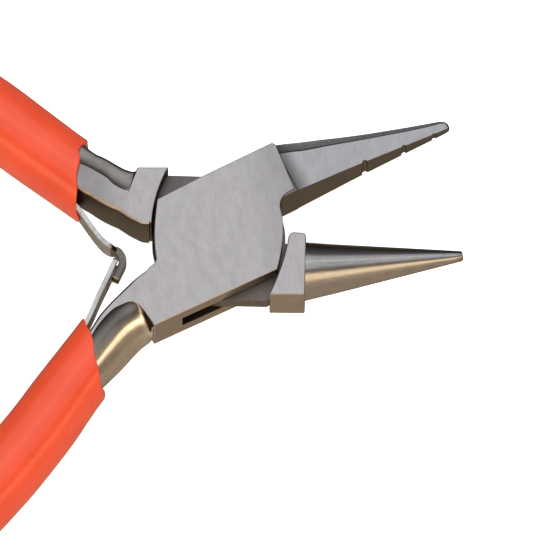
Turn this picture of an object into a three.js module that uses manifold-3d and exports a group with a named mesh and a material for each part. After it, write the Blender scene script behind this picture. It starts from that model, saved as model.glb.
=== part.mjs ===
// Looping pliers with a box joint: one flat grooved jaw and one round jaw.
// Millimetres. +X runs from the pivot towards the jaw tips, half way between the jaws;
// +Z runs along the pivot; the origin is on the pivot axis, on the underside of the joint.
// Each half is drawn with the jaws closed, then turned half of the opening about the pivot.
import * as THREE from 'three';
import { mergeVertices } from 'three/addons/utils/BufferGeometryUtils.js';
import Module from 'manifold-3d';

const wasm = await Module();
wasm.setup();

const DEG = Math.PI / 180;

const OPENING = 29.2 * DEG; // between the halves when the springs hold them apart
const THICK = 10; // joint, through both cheeks
const MID = THICK / 2;

const SLOT = { half: 12, gap: 3.7 }; // window of the box joint: half length, width
const HOOK_ROOM = 2.8; // width of the slot behind the window, for the upper spring's hook
const TONGUE = { radius: 11.4, thick: 3.3, top: 11.1, bottom: -10.8 };
const PIN = { radius: 2.5, clearance: 0.1 };

const FLAT_JAW = {
  root: { x: 14, face: 0.95, back: 10.4, thick: 9.3 },
  tip: { x: 43.4, face: 0.05, back: 2.1, thick: 2 },
  nose: { x: 44.8, face: 0.4, back: 1.4, thick: 1.2 },
  bevel: 0.3, // part of the width and thickness taken off the back corners
};
const GROOVES = [
  { x: 28.4, radius: 0.6 },
  { x: 35.7, radius: 0.5 },
  { x: 41.2, radius: 0.43 },
];
const ROUND_JAW = { root: [13.6, -4.96], tip: [41.84, -1], rootRadius: 4.95, tipRadius: 0.93 };

const HANDLE_TILT = 4.2 * DEG; // line between the closed handles, off the line of the jaws
// Middle of a handle: distance behind the pivot, distance off the line between the handles.
const HANDLE = [
  { s: 15.5, d: 5.4, wide: 7.6, high: 9.9 },
  { s: 20.7, d: 8.1, wide: 7.9, high: 9.5 },
  { s: 25.3, d: 10.7, wide: 7.5, high: 8.8 },
  { s: 30, d: 13.36, wide: 7.1, high: 8.3 },
  { s: 35, d: 16.19, wide: 6.9, high: 8 },
  { s: 42, d: 20.15, wide: 6.7, high: 7.8 },
  { s: 52, d: 24.9, wide: 6.6, high: 7.6 },
  { s: 62, d: 28.2, wide: 6.5, high: 7.5 },
  { s: 74, d: 30, wide: 6.4, high: 7.4 },
  { s: 86, d: 29.9, wide: 6.2, high: 7.2 },
  { s: 97, d: 28.2, wide: 5.6, high: 6.6 },
];
const HANDLE_EDGE = 0.8; // rounding of the two inner edges
const HANDLE_FLAT = 0.28; // flat part of the top and the underside, over the width

// Sleeve at the handle's stations from the mouth back; room is for the leaf, on the inner side.
const SLEEVE_FROM = 2;
const SLEEVE = [
  { room: 2.7, wide: 13, high: 11.6 },
  { room: 2.5, wide: 12.6, high: 11.3 },
  { room: 2.3, wide: 12.4, high: 11.2 },
  { room: 1.8, wide: 12.6, high: 11.2 },
  { room: 0, wide: 13.2, high: 11.2 },
  { room: 0, wide: 13.8, high: 11.2 },
  { room: 0, wide: 13.6, high: 11.2 },
  { room: 0, wide: 12.9, high: 11.1 },
  { room: 0, wide: 12, high: 10.7 },
];
const SLEEVE_SLANT = 0.72; // length of the slanted mouth over its width
const SLEEVE_DOME = 6.1; // length of the rounded end
const SLEEVE_CLEAR = 0.6; // between handle and bore, all round
const BORE_END = 1.4; // bore past the end of the handle
const ROUND_GRIP = 2.3; // exponents of the near-oval sections
const ROUND_BORE = 3;

const LEAF = { thick: 0.8, wide: 5, tongue: 1.8, fork: 2.6, forkLength: 3.2, lift: 0.15 };
const LEAF_STEPS = 22; // spans along a leaf
const RIVET = { back: 34, radius: 0.9, head: 1.6, dome: 0.8, depth: 3.2, clearance: 0.1 };

const STEEL = { color: 0xb4b3b6, roughness: 0.34, metalness: 1 };
const PIN_STEEL = { color: 0xa9a8ab, roughness: 0.3, metalness: 1 };
const SPRING_STEEL = { color: 0x9c9a98, roughness: 0.4, metalness: 1 };
const PVC = { color: 0xe65324, roughness: 0.28, metalness: 0 };

// ---- solids ----

function solid(geometry) {
  const bare = geometry.clone();
  bare.deleteAttribute('normal');
  bare.deleteAttribute('uv');
  const joined = mergeVertices(bare, 1e-4);
  const vertProperties = new Float32Array(joined.attributes.position.array);
  const triVerts = new Uint32Array(joined.index.array);
  return new wasm.Manifold(new wasm.Mesh({ numProp: 3, vertProperties, triVerts }));
}

function toGeometry(body) {
  const mesh = body.getMesh();
  const geometry = new THREE.BufferGeometry();
  geometry.setAttribute('position', new THREE.BufferAttribute(mesh.vertProperties, 3));
  geometry.setIndex(new THREE.BufferAttribute(mesh.triVerts, 1));
  return geometry;
}

const joinAll = (bodies) => bodies.reduce((sum, body) => sum.add(body));

function slab(shape, z0, z1, curveSegments = 10) {
  const options = { depth: z1 - z0, bevelEnabled: false, curveSegments };
  return solid(new THREE.ExtrudeGeometry(shape, options).translate(0, 0, z0));
}

function post(x, y, radius, z0, z1, sides = 48) {
  const geometry = new THREE.CylinderGeometry(radius, radius, z1 - z0, sides);
  return solid(geometry.rotateX(Math.PI / 2).translate(x, y, (z0 + z1) / 2));
}

function signedVolume(points, faces) {
  const one = (i) => {
    const [a, b, c] = [0, 1, 2].map((k) => points[faces[3 * i + k]]);
    return a.dot(b.clone().cross(c));
  };
  return Array.from({ length: faces.length / 3 }, (_, i) => one(i)).reduce((sum, v) => sum + v);
}

// Skin over rings with the same number of points, closed by a fan at each end.
function loft(rings) {
  const count = rings[0].length;
  const points = rings.flat();
  const faces = [];
  for (let r = 0; r + 1 < rings.length; r += 1) {
    for (let k = 0; k < count; k += 1) {
      const [a, b] = [r * count + k, r * count + ((k + 1) % count)];
      faces.push(a, b, a + count, b, b + count, a + count);
    }
  }
  for (const [ring, turn] of [[0, 1], [rings.length - 1, 0]]) {
    const hub = points.length;
    const sum = rings[ring].reduce((total, p) => total.add(p), new THREE.Vector3());
    points.push(sum.divideScalar(count));
    for (let k = 0; k < count; k += 1) {
      const [a, b] = [ring * count + k, ring * count + ((k + 1) % count)];
      faces.push(hub, ...(turn ? [b, a] : [a, b]));
    }
  }
  if (signedVolume(points, faces) < 0) faces.reverse();
  const geometry = new THREE.BufferGeometry().setFromPoints(points);
  return solid(geometry.setIndex(faces));
}

// ---- sections of bars and sleeves, as [across, up] pairs ----

function oval(wide, high, exponent, sides = 28) {
  const power = 2 / exponent;
  const bend = (v) => Math.sign(v) * Math.abs(v) ** power;
  return Array.from({ length: sides }, (_, k) => {
    const turn = (2 * Math.PI * k) / sides;
    return [(wide / 2) * bend(Math.cos(turn)), (high / 2) * bend(Math.sin(turn))];
  });
}

// Flat towards the other handle, round outside, flat strips above and below.
function halfRound(wide, high, steps = 6) {
  const inner = -wide / 2;
  const flat = inner + HANDLE_FLAT * wide;
  const arc = Array.from({ length: 2 * steps + 1 }, (_, k) => {
    const turn = -Math.PI / 2 + (Math.PI * k) / (2 * steps);
    return [flat + (wide / 2 - flat) * Math.cos(turn), (high / 2) * Math.sin(turn)];
  });
  const up = high / 2;
  return [
    [inner, up - HANDLE_EDGE],
    [inner, HANDLE_EDGE - up],
    [inner + HANDLE_EDGE, -up],
    ...arc,
    [inner + HANDLE_EDGE, up],
  ];
}

// ---- along the handles: side is +1 for the upper handle and -1 for the lower one ----

const onHandle = (side, s, d) => new THREE.Vector2(-s, side * d)
  .rotateAround(new THREE.Vector2(), -HANDLE_TILT);

// Position, direction away from the pivot and direction outwards at each station.
function stations(list, side) {
  const at = list.map(({ s, d }) => onHandle(side, s, d));
  return list.map((station, i) => {
    const before = at[Math.max(i - 1, 0)];
    const after = at[Math.min(i + 1, at.length - 1)];
    const along = after.clone().sub(before).normalize();
    const out = new THREE.Vector2(side * along.y, -side * along.x);
    return { ...station, at: at[i], along, out };
  });
}

function place(section, { at, along, out }, slant = 0) {
  return section.map(([across, up]) => {
    const p = at.clone().addScaledVector(out, across).addScaledVector(along, slant * across);
    return new THREE.Vector3(p.x, p.y, MID + up);
  });
}

function handleBar(side) {
  return loft(stations(HANDLE, side).map((st) => place(halfRound(st.wide, st.high), st)));
}

// Stations of a sleeve or its bore, moved inwards by half of the room for the leaf.
function sleeveStations(side, size) {
  return stations(HANDLE, side).slice(SLEEVE_FROM).map((st, i) => {
    const at = st.at.clone().addScaledVector(st.out, -SLEEVE[i].room / 2);
    return { ...st, ...size(st, SLEEVE[i]), at };
  });
}

const slideBy = (st, length) => ({ ...st, at: st.at.clone().addScaledVector(st.along, length) });

function grip(side) {
  const skin = sleeveStations(side, (st, { wide, high }) => ({ wide, high }));
  const end = skin[skin.length - 1];
  const dome = [30, 55, 75, 86].map((turn) => {
    const shrink = Math.cos(turn * DEG);
    const ring = oval(end.wide * shrink, end.high * shrink, ROUND_GRIP);
    return place(ring, slideBy(end, SLEEVE_DOME * Math.sin(turn * DEG)));
  });
  const slant = (i) => (i === 0 ? SLEEVE_SLANT : 0);
  const ring = (exponent) => (st, i) => place(oval(st.wide, st.high, exponent), st, slant(i));
  const outer = loft([...skin.map(ring(ROUND_GRIP)), ...dome]);

  const hole = sleeveStations(side, (st, { room }) => ({
    wide: st.wide + 2 * SLEEVE_CLEAR + room,
    high: st.high + 2 * SLEEVE_CLEAR,
  }));
  const bore = [slideBy(hole[0], -1), ...hole.slice(1), slideBy(hole[hole.length - 1], BORE_END)];
  return outer.subtract(loft(bore.map(ring(ROUND_BORE))));
}

// ---- the box half ----

// Cheek and handle root, seen along the pivot.
function boxOutline() {
  const shape = new THREE.Shape();
  shape.moveTo(-17.5, -9.8);
  shape.lineTo(6, -10.35);
  shape.quadraticCurveTo(10.3, -5.3, 11.35, -0.9); // front edge, clear of the tongue's block
  shape.quadraticCurveTo(11.9, 1.1, 14, 1.45);
  shape.lineTo(15.3, 1.45);
  shape.lineTo(16, 9.55);
  shape.lineTo(15.2, 10.4);
  shape.lineTo(-6.5, 10.1);
  shape.quadraticCurveTo(-10.6, 4.7, -12, 0.5); // rear edge
  shape.quadraticCurveTo(-15, -0.3, -17.9, -1.5);
  shape.quadraticCurveTo(-16.9, -5.8, -17.5, -9.8);
  return shape;
}

function jawRing({ x, face, back, thick }) {
  const [up, skin] = [thick / 2, FLAT_JAW.bevel];
  const [inset, drop] = [skin * (back - face), skin * thick];
  const section = [
    [face, -up], [face, up],
    [back - inset, up], [back, up - drop], [back, drop - up], [back - inset, -up],
  ];
  return section.map(([y, z]) => new THREE.Vector3(x, y, MID + z));
}

function flatJaw() {
  const { root, tip, nose } = FLAT_JAW;
  const jaw = loft([root, tip, nose].map(jawRing));
  const face = (x) => {
    return root.face + ((tip.face - root.face) * (x - root.x)) / (tip.x - root.x);
  };
  const cutter = ({ x, radius }) => post(x, face(x), radius, -1, THICK + 1, 20);
  return jaw.subtract(joinAll(GROOVES.map(cutter)));
}

// Where the hook goes as the handles close, from the window back into the handle's root.
function hookRoomOutline() {
  const shape = new THREE.Shape();
  shape.moveTo(-11.8, 0.8);
  shape.lineTo(-18, 0.8);
  shape.lineTo(-18, -1.9);
  shape.quadraticCurveTo(-15.6, -4.9, -12.6, -4.7);
  shape.lineTo(-11.8, -3.6);
  return shape;
}

function boxHalf() {
  const { half, gap } = SLOT;
  const window = new THREE.BoxGeometry(2 * half, 3 * THICK, gap).translate(0, 0, MID);
  const cheeks = slab(boxOutline(), 0, THICK).subtract(solid(window));
  const body = joinAll([cheeks, flatJaw(), handleBar(-1)]);
  const bore = post(0, 0, PIN.radius + PIN.clearance, -1, THICK + 1);
  const room = slab(hookRoomOutline(), MID - HOOK_ROOM / 2, MID + HOOK_ROOM / 2);
  return body.subtract(joinAll([bore, room, rivetHole(-1)]));
}

// ---- the tongue half ----

function tongueOutline() {
  const shape = new THREE.Shape();
  const { radius, top, bottom } = TONGUE;
  shape.moveTo(-12.5, top);
  shape.lineTo(-12.5, 2.2);
  shape.lineTo(-11.25, 1.85);
  shape.absarc(0, 0, radius, Math.PI - 0.163, 1.5 * Math.PI - 0.325, false);
  shape.lineTo(13, bottom);
  shape.lineTo(13, -1);
  shape.lineTo(11.4, -0.3);
  shape.absarc(0, 0, radius, 0, Math.PI / 2 - 0.23, false);
  return shape;
}

// Full-thickness blocks behind and in front of the tongue.
function shoulderOutline() {
  const shape = new THREE.Shape();
  shape.moveTo(-9, 11.3);
  shape.lineTo(-13.8, 11.2);
  shape.lineTo(-14.7, 9);
  shape.quadraticCurveTo(-15.2, 7.6, -16.6, 7);
  shape.lineTo(-17, 3.2);
  shape.quadraticCurveTo(-15, 1.9, -13.2, 1.2);
  shape.quadraticCurveTo(-11.8, 1.2, -11.55, 2.7);
  shape.quadraticCurveTo(-11.2, 7, -9, 11.3);
  return shape;
}

function blockOutline() {
  const shape = new THREE.Shape();
  shape.moveTo(9.3, -10.6);
  shape.lineTo(14.9, -10.5);
  shape.lineTo(14.7, 0.1);
  shape.lineTo(14.3, 0.45);
  shape.lineTo(13.3, 0.45);
  shape.quadraticCurveTo(12.2, 0.3, 11.9, -1);
  shape.quadraticCurveTo(11.4, -5.2, 9.3, -10.6);
  return shape;
}

function roundJaw() {
  const { root, tip, rootRadius, tipRadius } = ROUND_JAW;
  const [dx, dy] = [tip[0] - root[0], tip[1] - root[1]];
  const cone = new THREE.CylinderGeometry(tipRadius, rootRadius, Math.hypot(dx, dy), 40);
  cone.rotateZ(Math.atan2(dy, dx) - Math.PI / 2);
  return solid(cone.translate((root[0] + tip[0]) / 2, (root[1] + tip[1]) / 2, MID));
}

function tongueHalf() {
  const { thick } = TONGUE;
  const body = joinAll([
    slab(tongueOutline(), MID - thick / 2, MID + thick / 2),
    slab(shoulderOutline(), 0, THICK),
    slab(blockOutline(), 0, THICK),
    roundJaw(),
    handleBar(1),
  ]);
  const bore = post(0, 0, PIN.radius + PIN.clearance, -1, THICK + 1);
  return body.subtract(joinAll([bore, rivetHole(1)]));
}

// ---- springs and their rivets ----

// Point on the inner face of a handle, lifted off it; the face is straight where a leaf lies.
function innerFace(side, s, lift) {
  const all = stations(HANDLE, side);
  const i = all.findIndex((st) => st.s > s);
  const [a, b] = [all[i - 1], all[i]];
  const t = (s - a.s) / (b.s - a.s);
  const at = a.at.clone().lerp(b.at, t);
  const out = b.out.clone().lerp(a.out, 1 - t).normalize();
  const wide = a.wide + (b.wide - a.wide) * t;
  return { at: at.addScaledVector(out, -wide / 2 - lift), out };
}

// Turned solid whose axis points out of the handle's inner face.
function turned(profile, side, sides = 24) {
  const { at, out } = innerFace(side, RIVET.back, 0);
  const points = profile.map(([r, h]) => new THREE.Vector2(r, h));
  const body = new THREE.LatheGeometry(points, sides);
  body.rotateZ(Math.atan2(-out.y, -out.x) - Math.PI / 2);
  return solid(body.translate(at.x, at.y, MID));
}

function rivetHole(side) {
  const [r, deep] = [RIVET.radius + RIVET.clearance, RIVET.depth + RIVET.clearance];
  return turned([[0, -deep], [r, -deep], [r, LEAF.thick + 1], [0, LEAF.thick + 1]], side);
}

function rivet(side) {
  const { radius, head, dome, depth, clearance } = RIVET;
  const seat = LEAF.lift + LEAF.thick + clearance;
  const cap = [0, 30, 60].map((turn) => {
    return [head * Math.cos(turn * DEG), seat + dome * (0.4 + 0.6 * Math.sin(turn * DEG))];
  });
  return turned([[0, -depth], [radius, -depth], [radius, seat], [head, seat], ...cap,
    [0, seat + dome]], side);
}

// Strip of one thickness along a smooth line, on edge, between two heights.
function strip(points, z0, z1, steps) {
  const line = new THREE.SplineCurve(points);
  const along = Array.from({ length: steps + 1 }, (_, k) => {
    const at = line.getPointAt(k / steps);
    const dir = line.getTangentAt(k / steps);
    return { at, left: new THREE.Vector2(-dir.y, dir.x).multiplyScalar(LEAF.thick / 2) };
  });
  const edge = (sign) => along.map(({ at, left }) => at.clone().addScaledVector(left, sign));
  return slab(new THREE.Shape([...edge(1), ...edge(-1).reverse()]), z0, z1);
}

function leafRoot(side) {
  const lift = LEAF.lift + LEAF.thick / 2;
  return [37.5, 34, 31.5].map((s) => innerFace(side, s, lift).at);
}

const turnBack = ([x, y], side) => new THREE.Vector2(x, y)
  .rotateAround(new THREE.Vector2(), (side * OPENING) / 2);

// Leaf ends are given in the open position and turned back into the closed one.
function upperLeaf() {
  const [low, high] = [MID - LEAF.wide / 2, MID + LEAF.wide / 2];
  const free = [[-22.9, 11.6], [-21.6, 9.3], [-20.4, 6.3], [-19.2, 3.8], [-17.9, 2.5]];
  const blade = strip([...leafRoot(1), ...free.map((p) => turnBack(p, 1))], low, high, LEAF_STEPS);
  const hook = [[-18.2, 2.7], [-17, 2.15], [-16.05, 1.1], [-16, -0.3], [-16.6, -1.6],
    [-17.9, -2.6]];
  const tongue = strip(hook.map((p) => turnBack(p, 1)), MID - LEAF.tongue / 2,
    MID + LEAF.tongue / 2, LEAF_STEPS);
  return blade.add(tongue).subtract(rivetHole(1));
}

function lowerLeaf() {
  const [low, high] = [MID - LEAF.wide / 2, MID + LEAF.wide / 2];
  const free = [[-25.3, -9.9], [-22.4, -5.9], [-19.9, -2.6], [-17.8, 0.2]];
  const blade = strip([...leafRoot(-1), ...free.map((p) => turnBack(p, -1))], low, high, LEAF_STEPS);
  const [end, reach] = [turnBack(free[free.length - 1], -1), 2 * LEAF.forkLength];
  const gap = new THREE.BoxGeometry(reach, reach, LEAF.fork).translate(end.x, end.y, MID);
  return blade.subtract(joinAll([solid(gap), rivetHole(-1)]));
}

// ---- the object ----

function pivotPin() {
  return post(0, 0, PIN.radius, 0, THICK);
}

function node(name, body, side, look) {
  const geometry = toGeometry(body).rotateZ((-side * OPENING) / 2);
  const mesh = new THREE.Mesh(geometry, new THREE.MeshStandardMaterial(look));
  mesh.name = name;
  return mesh;
}

const pliers = new THREE.Group();
pliers.name = 'looping_pliers';
pliers.add(
  node('box_half', boxHalf(), -1, STEEL),
  node('tongue_half', tongueHalf(), 1, STEEL),
  node('pivot_pin', pivotPin(), -1, PIN_STEEL),
  node('upper_leaf_spring', upperLeaf(), 1, SPRING_STEEL),
  node('lower_leaf_spring', lowerLeaf(), -1, SPRING_STEEL),
  node('upper_spring_rivet', rivet(1), 1, PIN_STEEL),
  node('lower_spring_rivet', rivet(-1), -1, PIN_STEEL),
  node('upper_grip', grip(1), 1, PVC),
  node('lower_grip', grip(-1), -1, PVC),
);

export default pliers;
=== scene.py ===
"""Looping pliers: box joint, grooved flat jaw, round jaw, leaf springs and orange sleeves.

Shapes are given in millimetres. Each half is drawn with the jaws closed, then turned half of
the opening about the pivot, as in the CAD model.
"""

import math

import bmesh
import bpy
from mathutils import Matrix, Vector

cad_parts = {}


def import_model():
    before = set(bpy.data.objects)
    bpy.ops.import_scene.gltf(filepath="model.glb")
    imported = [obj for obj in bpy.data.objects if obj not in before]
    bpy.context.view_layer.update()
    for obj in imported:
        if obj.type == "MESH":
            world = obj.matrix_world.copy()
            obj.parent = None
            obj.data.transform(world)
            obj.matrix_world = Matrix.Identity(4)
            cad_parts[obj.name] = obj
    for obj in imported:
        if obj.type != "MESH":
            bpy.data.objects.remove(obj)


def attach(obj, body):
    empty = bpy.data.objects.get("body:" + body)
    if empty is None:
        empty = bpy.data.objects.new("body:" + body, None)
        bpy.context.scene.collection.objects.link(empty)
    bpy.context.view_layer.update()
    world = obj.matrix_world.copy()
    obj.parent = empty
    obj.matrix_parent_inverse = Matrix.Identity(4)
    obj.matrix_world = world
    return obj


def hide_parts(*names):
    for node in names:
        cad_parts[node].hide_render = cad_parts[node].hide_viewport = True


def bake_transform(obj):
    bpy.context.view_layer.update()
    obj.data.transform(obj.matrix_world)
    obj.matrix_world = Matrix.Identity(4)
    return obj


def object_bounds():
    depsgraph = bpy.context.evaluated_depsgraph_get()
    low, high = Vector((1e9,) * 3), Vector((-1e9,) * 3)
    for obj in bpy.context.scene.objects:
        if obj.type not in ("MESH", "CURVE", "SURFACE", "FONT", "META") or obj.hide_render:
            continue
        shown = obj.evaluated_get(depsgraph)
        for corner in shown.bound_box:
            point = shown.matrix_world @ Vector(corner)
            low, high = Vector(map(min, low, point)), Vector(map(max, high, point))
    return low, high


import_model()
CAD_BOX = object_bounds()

MM = 0.001
DEG = math.pi / 180
OPENING = 29.2 * DEG
THICK = 10.0
MID = THICK / 2
UPPER, LOWER = 1, -1  # the tongue half's handle and the box half's handle
BODY = {UPPER: "tongue_side", LOWER: "box_side"}
LEVEL = 0.985  # upward share of a normal from which a face counts as level
WELD = 0.004  # points closer than this become one


# ---- meshes ----


def mesh_object(name, verts, faces, side=None):
    """A mesh from millimetre coordinates, turned from closed to open for a half's side."""
    turn = Matrix.Rotation(-side * OPENING / 2, 3, "Z") if side else Matrix.Identity(3)
    mesh = bpy.data.meshes.new(name)
    mesh.from_pydata([turn @ Vector(v) * MM for v in verts], [], faces)
    work = bmesh.new()
    work.from_mesh(mesh)
    bmesh.ops.recalc_face_normals(work, faces=work.faces)
    work.to_mesh(mesh)
    work.free()
    obj = bpy.data.objects.new(name, mesh)
    bpy.context.scene.collection.objects.link(obj)
    return obj


def bake(obj):
    """Turns the modifiers into plain mesh."""
    graph = bpy.context.evaluated_depsgraph_get()
    obj.data = bpy.data.meshes.new_from_object(obj.evaluated_get(graph))
    obj.modifiers.clear()
    return obj


def combine(obj, others, operation):
    """Joins or cuts the object with the others, which are used up."""
    for other in others:
        step = obj.modifiers.new("combine", "BOOLEAN")
        step.operation, step.solver, step.object = operation, "EXACT", other
    bake(obj)
    for other in others:
        bpy.data.objects.remove(other)
    return obj


def soften(obj, width, angle=32, segments=3):
    """Rounds the sharp edges, welds doubles and shades the rest smooth."""
    work = bmesh.new()
    work.from_mesh(obj.data)
    bmesh.ops.remove_doubles(work, verts=work.verts, dist=WELD * MM)
    bmesh.ops.dissolve_degenerate(work, edges=work.edges, dist=WELD * MM)
    work.to_mesh(obj.data)
    work.free()
    bevel = obj.modifiers.new("bevel", "BEVEL")
    bevel.width, bevel.segments = width * MM, segments
    bevel.limit_method, bevel.angle_limit = "ANGLE", angle * DEG
    bevel.miter_outer = "MITER_ARC"
    bake(obj)
    return smooth(obj, angle)


def smooth(obj, angle, weighted=True):
    """Smooth shading with sharp edges kept.

    Weighted shading follows the large faces; otherwise the rims of level faces stay sharp."""
    obj.data.shade_smooth()
    obj.data.set_sharp_from_angle(angle=angle * DEG)
    if not weighted:
        work = bmesh.new()
        work.from_mesh(obj.data)
        for edge in work.edges:
            if len({abs(face.normal.z) > LEVEL for face in edge.link_faces}) > 1:
                edge.smooth = False
        work.to_mesh(obj.data)
        work.free()
        return obj
    weigh = obj.modifiers.new("weigh", "WEIGHTED_NORMAL")
    weigh.keep_sharp = True
    return bake(obj)


def paint(obj, side, materials, rule):
    """Gives each face the material that the rule picks from its place and direction.

    With a half's side, the rule sees both as they are with the jaws closed."""
    turn = Matrix.Rotation(side * OPENING / 2, 3, "Z") if side else Matrix.Identity(3)
    names = list(materials)
    obj.data.materials.clear()
    for name in names:
        obj.data.materials.append(materials[name])
    for face in obj.data.polygons:
        where, facing = turn @ face.center / MM, turn @ face.normal
        face.material_index = names.index(rule(where, facing))
    return obj


def skin(name, rings, side=None):
    """Surface over rings with the same number of points, capped at both ends."""
    count = len(rings[0])
    verts = [p for ring in rings for p in ring]
    faces = []
    for r in range(len(rings) - 1):
        for k in range(count):
            a, b = r * count + k, r * count + (k + 1) % count
            faces.append((a, b, b + count, a + count))
    last = (len(rings) - 1) * count
    faces.append(tuple(range(count))[::-1])
    faces.append(tuple(range(last, last + count)))
    return mesh_object(name, verts, faces, side)


def outline(start, *moves, steps=12):
    """Points of a path: (x, y) is a straight move, (control, end) a curve."""
    points = [Vector(start)]
    for move in moves:
        if not hasattr(move[0], "__len__"):
            points.append(Vector(move))
            continue
        begin, control, end = points[-1], Vector(move[0]), Vector(move[1])
        for k in range(1, steps + 1):
            t = k / steps
            points.append(begin * (1 - t) ** 2 + control * 2 * t * (1 - t) + end * t * t)
    return points


def prism(name, points, low, high, side):
    """Upright body on a plan of points, between two heights."""
    return skin(name, [[(p[0], p[1], z) for p in points] for z in (low, high)], side)


def post(name, x, y, radius, low, high, side, sides=64):
    """Upright round body."""
    ring = [2 * math.pi * k / sides for k in range(sides)]
    circle = [(x + radius * math.cos(a), y + radius * math.sin(a)) for a in ring]
    return prism(name, circle, low, high, side)


def spin(name, profile, to_place, side, sides=48):
    """Turned body: profile of (distance along, radius); to_place maps local to the half."""
    turns = [2 * math.pi * k / sides for k in range(sides)]
    rings = [
        [to_place(along, radius * math.cos(a), radius * math.sin(a)) for a in turns]
        for along, radius in profile]
    return skin(name, rings, side)


# ---- tables and curves ----


def spline(rows, t):
    """Catmull-Rom value of the rows' columns at t, which counts rows."""
    i = min(max(int(t), 0), len(rows) - 2)
    f = t - i
    a, b, c, d = (rows[min(max(i + k, 0), len(rows) - 1)] for k in (-1, 0, 1, 2))
    return [
        0.5 * (2 * q + (r - p) * f + (2 * p - 5 * q + 4 * r - s) * f ** 2
               + (3 * q - p - 3 * r + s) * f ** 3)
        for p, q, r, s in zip(a, b, c, d)]


def table(rows, x):
    """Straight-line value of the other columns at x, the first column."""
    if x <= rows[0][0]:
        return rows[0][1:]
    for low, high in zip(rows, rows[1:]):
        if x <= high[0]:
            t = (x - low[0]) / (high[0] - low[0])
            return [p + (q - p) * t for p, q in zip(low[1:], high[1:])]
    return rows[-1][1:]


class Line:
    """A smooth plane curve, read by the length along it."""

    def __init__(self, points, per_span=24):
        steps = (len(points) - 1) * per_span
        self.points = [Vector(spline(points, k / per_span)) for k in range(steps + 1)]
        self.reach = [0.0]
        for a, b in zip(self.points, self.points[1:]):
            self.reach.append(self.reach[-1] + (b - a).length)
        self.length = self.reach[-1]

    def at(self, length):
        """Point and direction at that length; straight on past the ends."""
        i = 0
        while i < len(self.points) - 2 and self.reach[i + 1] < length:
            i += 1
        a, b = self.points[i], self.points[i + 1]
        along = (b - a).normalized()
        return a + along * (length - self.reach[i]), along


# ---- handles ----

HANDLE_TILT = 4.2 * DEG
HANDLE_LINE = [  # distance behind the pivot, distance off the line between the handles
    (15.5, 5.3), (20.7, 8.1), (25.3, 10.7), (30, 13.36), (35, 16.19), (42, 20.15),
    (52, 24.9), (62, 28.2), (74, 30), (86, 29.9), (97, 28.2)]
HANDLE_SIZE = [(0, 7.9), (17, 7.1), (30, 6.7), (88, 5.8)]  # length along the handle, width
HANDLE_HALF = 0.585  # half of the height over the width
BAR_INNER, BAR_EDGE = 0.8, 0.1  # inner edge off the middle over the half width, its rounding
BAR_FLAT = 0.2  # flat share of the plain bar
ROOT = {  # inner edge, outer edge, flat share, how far it is rounded, half height, inner round
    UPPER: [
        (-11.95, 1.38, -11.9, 10.7, 0.95, 0, 5, 0.25),
        (-12.9, 1.5, -12.6, 10.7, 0.95, 0, 5, 0.4),
        (-13.7, 1.88, -13.3, 10.8, 0.95, 0, 5, 0.55),
        (-15.2, 2.75, -14.3, 10.8, 0.95, 0, 5, 0.7),
        (-15.8, 3.1, -14.9, 10.9, 0.5, 0.45, 5, 0.7),
        (-16.4, 3.5, -15.6, 11.2, 0.45, 0.75, 5, 0.7),
        (-17.4, 4.1, -16.6, 11.65, 0.43, 0.92, 5, 0.7),
        (-18.8, 4.7, -17.7, 12.25, 0.45, 1, 5, 0.7),
        (-20.5, 5.6, -19.0, 13.0, 0.51, 1, 4.98, 0.7),
        (-22.25, 6.7, -20.4, 13.75, 0.51, 1, 4.9, 0.7),
        (-24.35, 8.0, -22.1, 14.6, 0.5, 1, 4.8, 0.7)],
    LOWER: [
        (-14.0, -0.65, -16.2, -9.0, 0.95, 0, 5, 0.3),
        (-15.9, -1.1, -17.3, -9.5, 0.95, 0, 5, 0.4),
        (-16.9, -1.45, -17.6, -10.0, 0.8, 0.5, 5, 0.5),
        (-17.8, -1.75, -18.2, -10.5, 0.38, 0.9, 5, 0.5),
        (-19.0, -2.15, -19.0, -10.85, 0.22, 1, 5, 0.5),
        (-20.4, -2.65, -20.0, -11.05, 0.15, 1, 5, 0.5),
        (-22.3, -3.3, -21.3, -11.4, 0.08, 1, 4.98, 0.5),
        (-24.8, -4.4, -23.2, -12.15, 0.05, 1, 4.9, 0.5),
        (-27.6, -6.1, -25.4, -13.05, 0.04, 1, 4.8, 0.5)]}
ROOT_END = 17.0  # length along the handle where the plain bar goes on
FLAT_MOST = 0.95  # limit of the flat share
ROOT_STEPS, BAR_STEPS = 4, 20  # rings for each row of the root, and for the plain bar
EDGE_STEPS, SIDE_STEPS = 6, 3  # points round the inner edge, and for each row of a side
ROUND = {  # share of the way out and down from the flat to the widest place
    UPPER: [(0, 0), (0.08, 0.045), (0.22, 0.1), (0.45, 0.15), (0.7, 0.19), (0.86, 0.23),
            (0.96, 0.33), (1, 0.5), (1, 1)],
    LOWER: [(0, 0), (0.05, 0.03), (0.25, 0.1), (0.45, 0.205), (0.55, 0.285), (0.66, 0.41),
            (0.8, 0.6), (0.92, 0.82), (1, 1)]}
SQUARE = [  # the same for a side with square edges
    (0, 0), (0.25, 0), (0.5, 0), (0.7, 0), (0.85, 0), (0.95, 0), (1, 0.03), (1, 0.4), (1, 1)]


def handle_line(side):
    turn = Matrix.Rotation(-HANDLE_TILT, 2)
    return Line([turn @ Vector((-s, side * d)) for s, d in HANDLE_LINE])


LINES = {side: handle_line(side) for side in (UPPER, LOWER)}


def outwards(along, side):
    """Across a handle's line, away from the other handle."""
    return Vector((side * along.y, -side * along.x))


def place(section, line, length, side, slant):
    """Ring of (across, up) points round the line; slant moves a point along by its place."""
    at, along = line.at(length)
    out = outwards(along, side)
    ring = []
    for across, up in section:
        p = at + out * across + along * slant(across, up)
        ring.append((p.x, p.y, MID + up))
    return ring


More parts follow.
